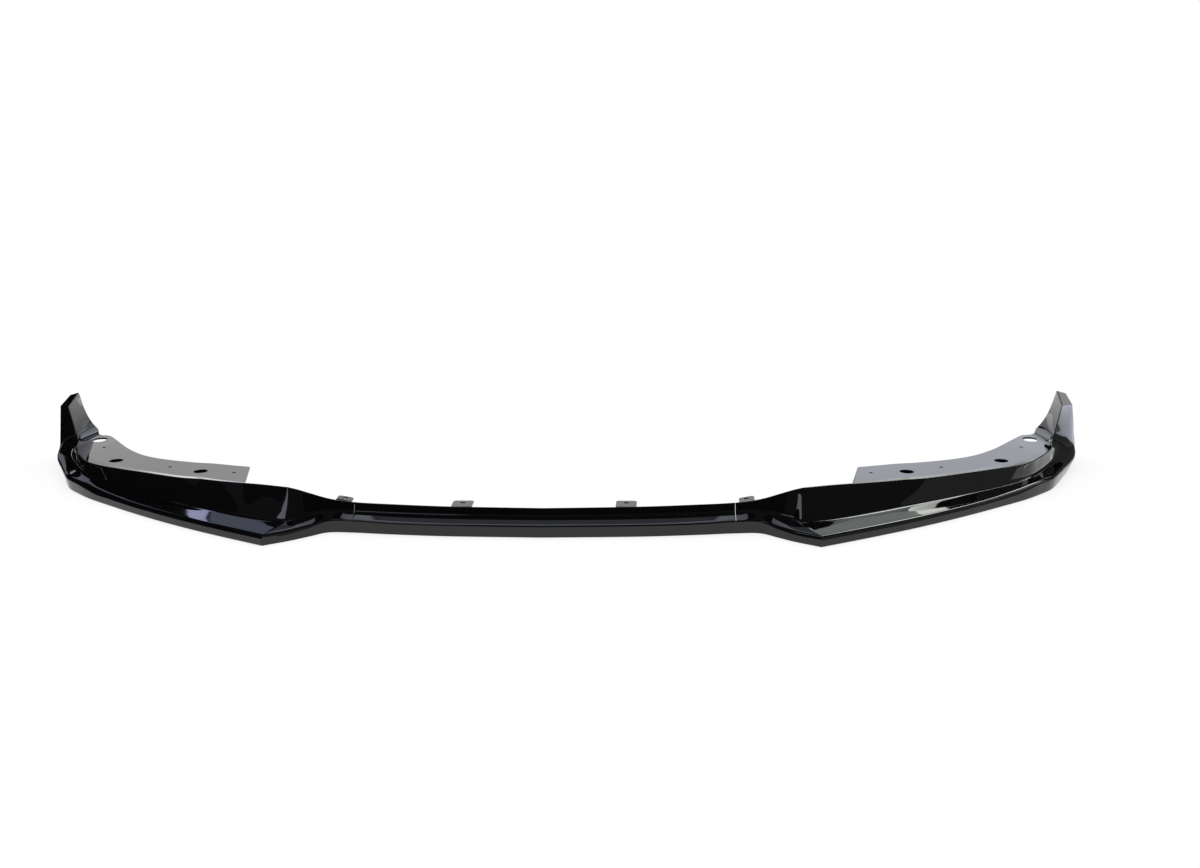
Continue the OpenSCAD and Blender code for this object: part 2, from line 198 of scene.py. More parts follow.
    def edge_points(self) -> list[Vector]:
        """Returns the flange edge from the flange start to the rear end."""
        fx, cx, hw, d, fz = self.fang_x, self.corner_x, self.half_width, self.depth, self.flange_z
        return [
            Vector(p)
            for p in (
                (fx + 83, 258, fz + 1),
                (fx + 117, 270, fz + 0.5),
                (fx + 151, 281, fz + 0.5),
                (fx + 186, 290, fz),
                (cx - 147, 309, fz),
                (cx - 102, 335, fz),
                (cx - 66, 371, fz),
                (cx - 38, 408, fz),
                (cx - 16, 440, fz),
                (hw - 95, d - 47, fz - 0.5),
                (hw - 73, d - 38, fz),
                (hw - 63, d - 18, fz + 4.5),
                (hw - 54, d - 17, fz + 15),
                (hw - 45, d - 15, fz + 29),
                (hw - 37, d - 11, fz + 46),
                (hw - 29, d - 2, self.fin_z - 8),
            )
        ]

    @staticmethod
    def glide(values: Sequence[Vector], s: float, first: int, last: int) -> Vector:
        """Returns the cubic through values between two indices, at place s."""

        def slope(i: int) -> Vector:
            """Returns the slope at an index."""
            if i <= first:
                return (values[first + 1] - values[first]) * (0.5 if first == 0 else 1.0)
            if i >= last:
                return values[last] - values[last - 1]
            return (values[i + 1] - values[i - 1]) / 2

        i = min(math.floor(s), last - 1)
        u = s - i
        return (
            values[i] * (1 - 3 * u * u + 2 * u**3)
            + slope(i) * (u - 2 * u * u + u**3)
            + values[i + 1] * (3 * u * u - 2 * u**3)
            + slope(i + 1) * (u**3 - u * u)
        )

    def track(self, column: int, s: float) -> Vector:
        """Returns a column of the key sections at place s, with breaks at the crease and the fin edge."""
        first = 0 if s < self.crease else self.crease if s < self.fin_edge else self.fin_edge
        last = self.crease if s < self.crease else self.fin_edge if s < self.fin_edge else self.rear_end
        return self.glide(self.columns[column], s, first, last)

    def sharp_corners(self, s: float, wide: bool) -> list[Vector]:
        """Returns the eight corners of the outer surface, with the crease left sharp."""
        face, lean, heading = self.track(3, s)
        ahead = Vector((math.cos(math.radians(heading)), math.sin(math.radians(heading)), 0))
        b, w, t = self.track(0, s), self.track(1, s), self.track(2, s)
        late = clamp(s - self.fin_edge + 1)
        low = Vector((self.half_width - 12, self.depth - 52, self.fin_z - 15))
        high = Vector((self.half_width - 11, self.depth - 2, self.fin_z - 6))
        corner = mix(low, high, clamp(s - self.fin_edge))
        o = mix(mix(w, t, 0.55), corner, late)
        if wide:
            g = self.glide(self.flange_edge, s - self.flange_start, 0, len(self.flange_edge) - 1)
        else:
            g = t + Vector((0, self.top_return, -0.4 * self.top_return))
        k = mix(t, g, 0.16 + 0.44 * late if wide else 0.5)
        if wide:
            rise = clamp((s - 19) / 2)
            level = t.z + 0.82 * (g.z - t.z)
            k.z = level + rise * (k.z - level)
        top = b + lean * ahead + Vector((0, 0, face))
        return [b + self.under_return * ahead, b, top, w, o, t, k, g]

    def corners(self, s: float, wide: bool) -> list[Vector]:
        """Returns the corners with the crease rounded, more at the foot than at the rim."""
        here = self.sharp_corners(s, wide)
        spans = (0.06, 0.06, 0.06, 1.0, 0.62, 0.12, 0.12, 0.12)
        for j, share in enumerate(spans):
            reach = self.crease_soft * share
            off = s - self.crease
            if abs(off) < reach:
                a = self.sharp_corners(self.crease - reach, wide)[j]
                c = self.sharp_corners(self.crease, wide)[j]
                e = self.sharp_corners(self.crease + reach, wide)[j]
                u = (off + reach) / (2 * reach)
                here[j] = (1 - u) ** 2 * a + 2 * u * (1 - u) * c + u * u * e
        return here

    def sunk(self, s: float, wide: bool, depth: float) -> list[Vector]:
        """Returns the corners set back from the outer surface by depth."""
        c = self.corners(s, wide)
        if depth == 0:
            return c
        low = max(s - 0.12, self.flange_start if wide else 0)
        high = min(s + 0.12, self.rear_end if wide or s > self.flange_start else self.flange_start)
        if s == self.fin_edge:
            high = s
        p, q = self.corners(low, wide), self.corners(high, wide)
        normals = [
            (q[j] - p[j] + q[j + 1] - p[j + 1]).cross(p[j + 1] - p[j] + q[j + 1] - q[j]).normalized()
            for j in range(len(c) - 1)
        ]
        result = []
        for j, point in enumerate(c):
            n0, n1 = normals[max(j - 1, 0)], normals[min(j, len(c) - 2)]
            moved = point - depth * (n0 + n1) / max(1 + n0.dot(n1), 0.7)
            if s == self.fin_edge and j > 3:
                moved.z -= depth
            result.append(moved)
        return result

    def section(self, s: float, wide: bool, depth: float, arc: int, spans: Sequence[int]) -> list[Vector]:
        """Returns one section line with rounded corners.

        Args:
            s: Place along the lip.
            wide: True where the flange is.
            depth: How far under the outer surface.
            arc: Points on each rounded corner.
            spans: Extra points on each straight stretch.

        Returns:
            Points in millimetres, the same number for every place.
        """
        c = self.sunk(s, wide, depth)
        nose = self.edge_r + clamp((s - self.seam_key - 1) / 2) * (self.nose_r - self.edge_r)
        rim = self.rim_r + clamp((s - 21) / 1.5) * (self.fin_rim_r - self.rim_r)
        radii = (0, self.edge_r, nose, self.foot_r, 0, rim, 3, 0)
        bulge = (0, -1, -1, 1, 0, -1, 1, 0)
        groups = []
        for j, point in enumerate(c):
            if radii[j] == 0:
                groups.append([point])
                continue
            u0, u1 = c[j - 1] - point, c[j + 1] - point
            d = min(max(radii[j] + bulge[j] * depth, 0.4), 0.42 * u0.length, 0.42 * u1.length)
            p0, p1 = point + d * u0.normalized(), point + d * u1.normalized()
            steps = [i / (arc - 1) for i in range(arc)]
            groups.append([(1 - t) ** 2 * p0 + 2 * t * (1 - t) * point + t * t * p1 for t in steps])
        line = list(groups[0])
        for j in range(1, len(groups)):
            count = spans[j - 1] + 1
            line += [mix(line[-1], groups[j][0], i / count) for i in range(1, count)]
            line += groups[j]
        return line

    def flange_point(self, s: float, share: float) -> Vector:
        """Returns the point at place s that lies share of the way across the flange."""
        edge = self.glide(self.flange_edge, s - self.flange_start, 0, len(self.flange_edge) - 1)
        return mix(self.track(2, s), edge, share)

    def place(self, point: Vector) -> Vector:
        """Returns a point of the lip line in the row frame, in metres."""
        return Vector((point.x, point.y - self.depth / 2, point.z)) * MM


def deselect() -> None:
    """Leaves edit mode if needed and deselects everything."""
    if bpy.context.mode != "OBJECT":
        bpy.ops.object.mode_set(mode="OBJECT")
    bpy.ops.object.select_all(action="DESELECT")


def only(obj: bpy.types.Object) -> None:
    """Makes obj the only selected object and the active one."""
    deselect()
    obj.select_set(True)
    bpy.context.view_layer.objects.active = obj


def edit(obj: bpy.types.Object, *steps: Callable[[], object]) -> None:
    """Runs the steps on obj in edit mode."""
    only(obj)
    bpy.ops.object.mode_set(mode="EDIT")
    for step in steps:
        step()
    bpy.ops.object.mode_set(mode="OBJECT")


def settle(obj: bpy.types.Object) -> None:
    """Moves the place, turn and scale of obj into its mesh."""
    only(obj)
    bpy.ops.object.transform_apply(location=True, rotation=True, scale=True)


def apply_all(obj: bpy.types.Object) -> None:
    """Applies every modifier of obj."""
    only(obj)
    for modifier in list(obj.modifiers):
        bpy.ops.object.modifier_apply(modifier=modifier.name)


def subtract(obj: bpy.types.Object, tools: Sequence[bpy.types.Object]) -> None:
    """Cuts each tool out of obj and removes the tool."""
    for tool in tools:
        cut = obj.modifiers.new("cut", "BOOLEAN")
        cut.operation = "DIFFERENCE"
        cut.solver = "EXACT"
        cut.object = tool
        apply_all(obj)
        bpy.data.objects.remove(tool)


def join(name: str, parts: Sequence[bpy.types.Object]) -> bpy.types.Object:
    """Joins the parts into one object of that name."""
    deselect()
    for part in parts:
        part.select_set(True)
    bpy.context.view_layer.objects.active = parts[0]
    bpy.ops.object.join()
    parts[0].name = parts[0].data.name = name
    return parts[0]


def smooth(obj: bpy.types.Object, degrees: float) -> None:
    """Shades obj smooth with sharp edges past an angle."""
    only(obj)
    bpy.ops.object.shade_smooth_by_angle(angle=math.radians(degrees))


def even_normals(obj: bpy.types.Object) -> None:
    """Lets the large faces of obj set the shading, so that flat stretches look flat."""
    even = obj.modifiers.new("even", "WEIGHTED_NORMAL")
    even.keep_sharp = True
    apply_all(obj)


def box_tool(low: Vector, high: Vector) -> bpy.types.Object:
    """Returns a box between two corners, for cutting."""
    deselect()
    bpy.ops.mesh.primitive_cube_add(size=1, location=(low + high) / 2, scale=high - low)
    tool = bpy.context.object
    settle(tool)
    return tool


def drill(at: Vector, radius: float, height: float, tilt: float = 0.0) -> bpy.types.Object:
    """Returns a cylinder centred on a point, for cutting."""
    deselect()
    bpy.ops.mesh.primitive_cylinder_add(vertices=64, radius=radius, depth=height, location=at, rotation=(0, tilt, 0))
    tool = bpy.context.object
    settle(tool)
    return tool


def prism(outline: Sequence[Vector], height: float) -> bpy.types.Object:
    """Returns an upright prism over an outline, centred on it in height, for cutting."""
    deselect()
    bpy.ops.mesh.primitive_circle_add(vertices=len(outline), fill_type="NGON")
    tool = bpy.context.object
    for vertex, point in zip(tool.data.vertices, outline, strict=True):
        vertex.co = Vector((point.x, point.y, outline[0].z - height / 2))
    edit(
        tool,
        lambda: bpy.ops.mesh.select_all(action="SELECT"),
        lambda: bpy.ops.mesh.extrude_region_move(TRANSFORM_OT_translate={"value": (0, 0, height)}),
        lambda: bpy.ops.mesh.select_all(action="SELECT"),
        lambda: bpy.ops.mesh.normals_make_consistent(inside=False),
    )
    return tool


@dataclass
class Shell:
    """A moulded shell, lofted between an outer and an inner sheet."""

    line: LipLine
    arc: int = 6
    outer_spans: tuple[int, ...] = (2, 1, 4, 6, 5, 1, 6)
    inner_spans: tuple[int, ...] = (1, 0, 2, 3, 3, 0, 3)

    def sheet(
        self, name: str, stations: Sequence[tuple[float, bool]], depth: float, mirrored: bool
    ) -> bpy.types.Object:
        """Lays a grid over the sections at one depth.

        Args:
            name: Name of the sheet.
            stations: Places along the lip, with whether the flange is there.
            depth: How far under the outer surface.
            mirrored: True to run the sheet to the other side of the middle as well.

        Returns:
            The sheet.
        """
        arc = self.arc if depth == 0 else 4
        spans = self.outer_spans if depth == 0 else self.inner_spans
        rows = [self.line.section(s, wide, depth, arc, spans) for s, wide in stations]
        if mirrored:
            rows = [[Vector((-p.x, p.y, p.z)) for p in row] for row in reversed(rows[1:])] + rows
        deselect()
        bpy.ops.mesh.primitive_grid_add(x_subdivisions=len(rows[0]) - 1, y_subdivisions=len(rows) - 1, size=1)
        sheet = bpy.context.object
        sheet.name = name
        points = [self.line.place(p) for row in rows for p in row]
        for vertex, point in zip(sheet.data.vertices, points, strict=True):
            vertex.co = point
        return sheet

    def build(self, name: str, stations: Sequence[tuple[float, bool]], mirrored: bool = False) -> bpy.types.Object:
        """Returns the closed shell between the outer and the inner sheet."""
        outer = self.sheet(name, stations, 0, mirrored)
        inner = self.sheet(name + "_inner", stations, self.line.shell, mirrored)
        shell = join(name, [outer, inner])
        edit(
            shell,
            lambda: bpy.ops.mesh.select_mode(type="EDGE"),
            lambda: bpy.ops.mesh.select_all(action="DESELECT"),
            lambda: bpy.ops.mesh.select_non_manifold(
                extend=False,
                use_wire=False,
                use_boundary=True,
                use_multi_face=False,
                use_non_contiguous=False,
                use_verts=False,
            ),
            lambda: bpy.ops.mesh.bridge_edge_loops(),
            lambda: bpy.ops.mesh.select_all(action="SELECT"),
            lambda: bpy.ops.mesh.normals_make_consistent(inside=False),
        )
        return shell


@dataclass
class Ears:
    """Flat mounting ears that reach back from the rim."""

    line: LipLine
    thickness: float = 2.4
    hole: float = 8.0
    corner: float = 5.0
    root: float = 5.0

    def ear(self, name: str, at: Vector, width: float, reach: float, tilt: float) -> bpy.types.Object:
        """Returns one ear with its hole.

        Args:
            name: Name of the ear.
            at: Middle of its root, at its underside, in the lip line's millimetres.
            width: Width across the lip.
            reach: Length behind the root.
            tilt: Turn about the front-to-back axis, in radians.

        Returns:
            The ear, in the row frame.
        """
        deselect()
        size = Vector((width, reach + self.root, self.thickness)) * MM
        bpy.ops.mesh.primitive_cube_add(size=1, location=(0, 0, 0))
        ear = bpy.context.object
        ear.name = name
        for v in ear.data.vertices:
            v.co = Vector((v.co.x * size.x, (v.co.y + 0.5) * size.y - self.root * MM, (v.co.z + 0.5) * size.z))
        only(ear)
        bpy.ops.object.mode_set(mode="EDIT")
        bpy.ops.mesh.select_mode(type="EDGE")
        bpy.ops.mesh.select_all(action="DESELECT")
        bpy.ops.object.mode_set(mode="OBJECT")
        for edge in ear.data.edges:
            a, b = (ear.data.vertices[i].co for i in edge.vertices)
            edge.select = min(a.y, b.y) > 0 and abs(a.z - b.z) > 0.5 * size.z
        bpy.ops.object.mode_set(mode="EDIT")
        bpy.ops.mesh.bevel(offset=self.corner * MM, segments=8)
        bpy.ops.object.mode_set(mode="OBJECT")
        subtract(ear, [drill(Vector((0, (reach / 2 + 1) * MM, 0)), self.hole / 2 * MM, 20 * MM)])
        rim = ear.modifiers.new("rim", "BEVEL")
        rim.width = 0.35 * MM
        rim.segments = 2
        rim.angle_limit = math.radians(50)
        apply_all(ear)
        smooth(ear, 32)
        even_normals(ear)
        ear.rotation_euler = (0, tilt, 0)
        ear.location = self.line.place(at)
        settle(ear)
        return ear


@dataclass
class CentreSection:
    """The slim middle piece with its two inner ears."""

    line: LipLine
    gap: float = 0.5
    ear_x: float = 126.0
    ear_width: float = 32.0
    ear_reach: float = 27.0

    def build(self) -> bpy.types.Object:
        """Returns the centre section, cut at both seams."""
        line = self.line
        last = line.seam_key + line.seam_step / (line.fang_x - 86 - line.seam_x)
        stations = [(i / 12, False) for i in range(0, 12 * line.seam_key + 1)]
        stations += [(line.seam_key + (last - line.seam_key) * i / 6, False) for i in range(1, 7)]
        body = Shell(line).build("centre_section_shell", stations, mirrored=True)
        split = line.centre_face + 0.5 - self.gap / 2
        tools = [
            box_tool(
                line.place(Vector((line.seam_x - self.gap / 2 if s > 0 else -600, -100, split))),
                line.place(Vector((600 if s > 0 else -line.seam_x + self.gap / 2, 400, 100))),
            )
            for s in (-1, 1)
        ]
        subtract(body, tools)
        smooth(body, 32)
        ears = Ears(line)
        rim_y = line.bow(self.ear_x)[1] + line.centre_ledge + 6 + line.top_return
        rim = Vector((self.ear_x, rim_y, line.centre_top - 2.6))
        made = [
            ears.ear(f"inner_ear_{i}", Vector((s * rim.x, rim.y, rim.z)), self.ear_width, self.ear_reach, 0)
            for i, s in enumerate((-1, 1))
        ]
        return join("centre_section_shell", [body, *made])


@dataclass
class Wing:
    """One wing: blade, ledge, wall, punched flange and fin."""

    line: LipLine
    side: Side
    gap: float = 0.5
    clip_d: float = 23.0
    screw_d: float = 6.5
    clips: tuple[tuple[float, float], ...] = ((11.32, 0.5), (14.75, 0.38))
    screws: tuple[tuple[float, float], ...] = ((9.69, 0.62), (12.64, 0.58), (16.85, 0.61), (19.35, 0.3))
    slot_at: tuple[float, float] = (18.17, 0.72)
    socket_depth: float = 12.0
    socket_wall: float = 2.0
    slot_width: float = 24.0
    flange_corner: float = 8.0
    slot_length: float = 8.0
    ear_x: float = 308.0
    ear_width: float = 24.0
    ear_reach: float = 21.0
    tongue_length: float = 46.0
    tongue_thickness: float = 3.0

    def flange_tools(self) -> list[bpy.types.Object]:
        """Returns the cylinders and the slot block that pierce the flange."""
        line = self.line
        holes = [(*at, self.clip_d) for at in self.clips] + [(*at, self.screw_d) for at in self.screws]
        tools = [drill(line.place(line.flange_point(s, share)), d / 2 * MM, 18 * MM) for s, share, d in holes]
        centre = line.place(line.flange_point(*self.slot_at))
        slot = drill(centre, self.slot_width / 2 * MM, 18 * MM)
        for v in slot.data.vertices:
            v.co.y += math.copysign(self.slot_length / 2 * MM, v.co.y - centre.y)
        return [*tools, slot, self.corner_tool()]

    def corner_tool(self) -> bpy.types.Object:
        """Returns the sliver outside the rounded corner at the flange's inner end."""
        line = self.line
        corner = line.flange_edge[0]
        u = (line.flange_point(line.flange_start + 0.3, 1) - corner).normalized()
        v = (line.flange_point(line.flange_start, 0) - corner).normalized()
        middle = corner + self.flange_corner / u.cross(v).length * (u + v)
        d = (middle - corner).dot(u)
        start, end = ((p - middle).normalized() for p in (corner + d * u, corner + d * v))
        arc = [middle + start.slerp(end, i / 12) * self.flange_corner for i in range(13)]
        outline = [*arc, corner + d * v - 2 * u, corner - 2 * (u + v), corner + d * u - 2 * v]
        return prism([line.place(p) for p in outline], 18 * MM)

    def socket(self, s: float, share: float) -> bpy.types.Object:
        """Returns the closed cup under one clip hole."""
        top = self.line.place(self.line.flange_point(s, share))
        height = (self.socket_depth + self.socket_wall - self.line.shell / 2) * MM
        low = top - Vector((0, 0, (self.socket_depth + self.socket_wall) * MM))
        cup = drill(low + Vector((0, 0, height / 2)), (self.clip_d / 2 + self.socket_wall) * MM, height)
        bore = Vector((0, 0, (self.socket_wall + 20) * MM))
        subtract(cup, [drill(low + bore, self.clip_d / 2 * MM, 40 * MM)])
        smooth(cup, 32)
        return cup

    def tongue(self) -> bpy.types.Object:
        """Returns the tongue that lies on the centre section's under return."""
        line = self.line
        lower = line.seam_x + line.seam_step
        width = line.under_return - line.shell - 6
        y = line.bow(lower)[1] + line.shell + 2 + width / 2
        z = line.shell + 0.2
        plate = box_tool(
            line.place(Vector((lower - self.tongue_length, y - width / 2, z))),
            line.place(Vector((lower + 14, y + width / 2, z + self.tongue_thickness))),
        )
        foot = box_tool(
            line.place(Vector((lower + 2, y - width / 2, line.shell / 2))),
            line.place(Vector((lower + 14, y + width / 2, z + 0.1))),
        )
        plate.modifiers.new("round", "BEVEL").width = 0.6 * MM
        apply_all(plate)
        return join("tongue", [plate, foot])

    def build(self) -> bpy.types.Object:
        """Returns the wing, mirrored for the left side."""
        line = self.line
        stations = [(line.seam_key + i / 12, False) for i in range(12 * (line.flange_start - line.seam_key) + 1)]
        count = 12 * (line.rear_end - line.flange_start)
        stations += [(line.flange_start + 0.02, True)]
        stations += [(line.flange_start + i / 12, True) for i in range(1, count + 1)]
        fine = [line.crease + i / 48 for i in range(-8, 9) if i % 4]
        stations = sorted(stations + [(s, False) for s in fine])
        body = Shell(line).build("wing_shell", stations)
        split = line.centre_face + 0.5 + self.gap / 2
        lower = line.seam_x + line.seam_step + self.gap / 2
        tools = [
            box_tool(line.place(Vector((200, -100, -5))), line.place(Vector((lower, 400, split)))),
            box_tool(line.place(Vector((200, -100, -6))), line.place(Vector((line.seam_x + self.gap / 2, 401, 120)))),
        ]
        subtract(body, tools + self.flange_tools())
        smooth(body, 32)
        root = line.track(2, line.seam_key + (self.ear_x - line.seam_x) / (line.fang_x - 86 - line.seam_x))
        rise = (line.crease_z - 18) - (line.centre_top + 3.5)
        tilt = math.atan(rise / (line.fang_x - 85 - line.seam_x))
        at = root + Vector((0, line.top_return, -3.8))
        ear = Ears(line).ear("outer_ear", at, self.ear_width, self.ear_reach, -tilt)
        sockets = [self.socket(*at) for at in self.clips]
        wing = join(f"{self.side.name.lower()}_wing_shell", [body, ear, self.tongue(), *sockets])
        if self.side is Side.LEFT:
            for v in wing.data.vertices:
                v.co.x = -v.co.x
            edit(wing, lambda: bpy.ops.mesh.select_all(action="SELECT"), bpy.ops.mesh.flip_normals)
        even_normals(wing)
        return wing


@dataclass
class JointFasteners:
    """The countersunk screws and the nuts that hold the wings' tongues to the centre section."""

    line: LipLine
    pitch: float = 16.0
    thread: float = 4.0
    head: float = 8.0
    across_flats: float = 7.0
    nut_height: float = 3.2
    nut_z: float = 6.4
    socket: float = 2.5
    socket_depth: float = 1.4

    def places(self) -> list[Vector]:
        """Returns the foot of each screw, in the lip line's millimetres."""
        lower = self.line.seam_x + self.line.seam_step
        y = self.line.bow(lower)[1] + self.line.shell + 2 + (self.line.under_return - self.line.shell - 6) / 2
        xs = [lower - 27 + i * self.pitch / 2 for i in (-1, 1)]
        return [Vector((s * x, y, 0.1)) for s in (-1, 1) for x in xs]

    def rod(self, sides: int, low: float, high: float, radii: tuple[float, float], at: Vector) -> bpy.types.Object:
        """Returns an upright rod or cone between two heights above a place."""
        deselect()
        middle = self.line.place(at + Vector((0, 0, (low + high) / 2)))
        bpy.ops.mesh.primitive_cone_add(
            vertices=sides, radius1=radii[0] * MM, radius2=radii[1] * MM, depth=(high - low) * MM, location=middle
        )
        made = bpy.context.object
        settle(made)
        return made

    def combine(self, obj: bpy.types.Object, tool: bpy.types.Object, operation: str) -> None:
        """Joins obj with a tool, or cuts it, and removes the tool."""
        step = obj.modifiers.new("step", "BOOLEAN")
        step.operation, step.solver, step.object = operation, "EXACT", tool
        apply_all(obj)
        bpy.data.objects.remove(tool)

    def screw(self, at: Vector) -> bpy.types.Object:
        """Returns one countersunk screw with a hexagon socket, rounded at its tip."""
        top = self.nut_z + self.nut_height + 1
        r, rise = self.thread / 2, (self.head - self.thread) / 2
        made = self.rod(48, 0, rise, (self.head / 2, r), at)
        self.combine(made, self.rod(48, rise / 2, top - 0.6, (r, r), at), "UNION")
        self.combine(made, self.rod(48, top - 0.6, top, (r, r - 0.5), at), "UNION")
        side = self.socket / 2 / math.cos(math.radians(30))
        self.combine(made, self.rod(6, -1, self.socket_depth, (side, side), at), "DIFFERENCE")
        return made

    def nut(self, at: Vector) -> bpy.types.Object:
        """Returns one nut with its six corners turned down."""
        corner = self.across_flats / 2 / math.cos(math.radians(30))
        low, high = self.nut_z, self.nut_z + self.nut_height
        made = self.rod(6, low, high, (corner, corner), at)
        tall = 2 * self.nut_height
        for ends in ((low, low + tall, corner - 0.4, corner + 3.3), (high - tall, high, corner + 3.3, corner - 0.4)):
            self.combine(made, self.rod(64, ends[0], ends[1], (ends[2], ends[3]), at), "INTERSECT")
        self.combine(made, self.rod(48, low - 1, high + 1, (self.thread / 2 + 0.05,) * 2, at), "DIFFERENCE")
        return made

    def build(self) -> tuple[bpy.types.Object, bpy.types.Object]:
        """Returns all the screws and all the nuts, each as one object."""
        screws = join("joint_screw_set", [self.screw(at) for at in self.places()])
        nuts = join("joint_nut_set", [self.nut(at) for at in self.places()])
        for made in (screws, nuts):
            smooth(made, 32)
        return screws, nuts


@dataclass(frozen=True)
class GlossBlack:
    """Gloss black moulded plastic with a faint waviness."""

    name: str = "gloss_black_plastic"
    colour: tuple[float, float, float] = (0.0022, 0.0022, 0.0026)
    roughness: float = 0.035
    ior: float = 1.48

    def material(self) -> bpy.types.Material:
        """Returns the material."""
        made = bpy.data.materials.new(self.name)
        made.use_nodes = True
        nodes, links = made.node_tree.nodes, made.node_tree.links
        shader = nodes["Principled BSDF"]
        where = nodes.new("ShaderNodeTexCoord")
        cloud = nodes.new("ShaderNodeTexNoise")
        cloud.inputs["Scale"].default_value = 9.0
        cloud.inputs["Detail"].default_value = 3.0
        links.new(where.outputs["Object"], cloud.inputs["Vector"])
        ramp = nodes.new("ShaderNodeValToRGB")
        ramp.color_ramp.elements[0].position = 0.35
        ramp.color_ramp.elements[1].position = 0.7
        ramp.color_ramp.elements[0].color = (*(c * 0.9 for c in self.colour), 1)
        ramp.color_ramp.elements[1].color = (*(c * 1.15 for c in self.colour), 1)
        links.new(cloud.outputs["Fac"], ramp.inputs["Fac"])
        links.new(ramp.outputs["Color"], shader.inputs["Base Color"])
        rough = nodes.new("ShaderNodeMapRange")
        rough.inputs["To Min"].default_value = self.roughness * 0.85
        rough.inputs["To Max"].default_value = self.roughness * 1.2
        links.new(cloud.outputs["Fac"], rough.inputs["Value"])
        links.new(rough.outputs["Result"], shader.inputs["Roughness"])
        wave = nodes.new("ShaderNodeTexNoise")
        wave.inputs["Scale"].default_value = 26.0
        wave.inputs["Detail"].default_value = 1.5
        links.new(where.outputs["Object"], wave.inputs["Vector"])
        bump = nodes.new("ShaderNodeBump")
        bump.inputs["Strength"].default_value = 0.12
        bump.inputs["Distance"].default_value = 0.0006
        links.new(wave.outputs["Fac"], bump.inputs["Height"])
        links.new(bump.outputs["Normal"], shader.inputs["Normal"])
        shader.inputs["IOR"].default_value = self.ior
        return made


@dataclass(frozen=True)
class Steel:
    """Plain or blackened steel of the joint fasteners."""

    name: str
    dark: tuple[float, float, float]
    light: tuple[float, float, float]
    metal: float = 1.0

    def material(self) -> bpy.types.Material:
        """Returns the material."""
        made = bpy.data.materials.new(self.name)
        made.use_nodes = True
        nodes, links = made.node_tree.nodes, made.node_tree.links
        shader = nodes["Principled BSDF"]
        where = nodes.new("ShaderNodeTexCoord")
        grain = nodes.new("ShaderNodeTexNoise")
        grain.inputs["Scale"].default_value = 900.0
        links.new(where.outputs["Object"], grain.inputs["Vector"])
        ramp = nodes.new("ShaderNodeValToRGB")
        ramp.color_ramp.elements[0].color = (*self.dark, 1)
        ramp.color_ramp.elements[1].color = (*self.light, 1)
        links.new(grain.outputs["Fac"], ramp.inputs["Fac"])
        links.new(ramp.outputs["Color"], shader.inputs["Base Color"])
        shader.inputs["Metallic"].default_value = self.metal
        shader.inputs["Roughness"].default_value = 0.38
        return made


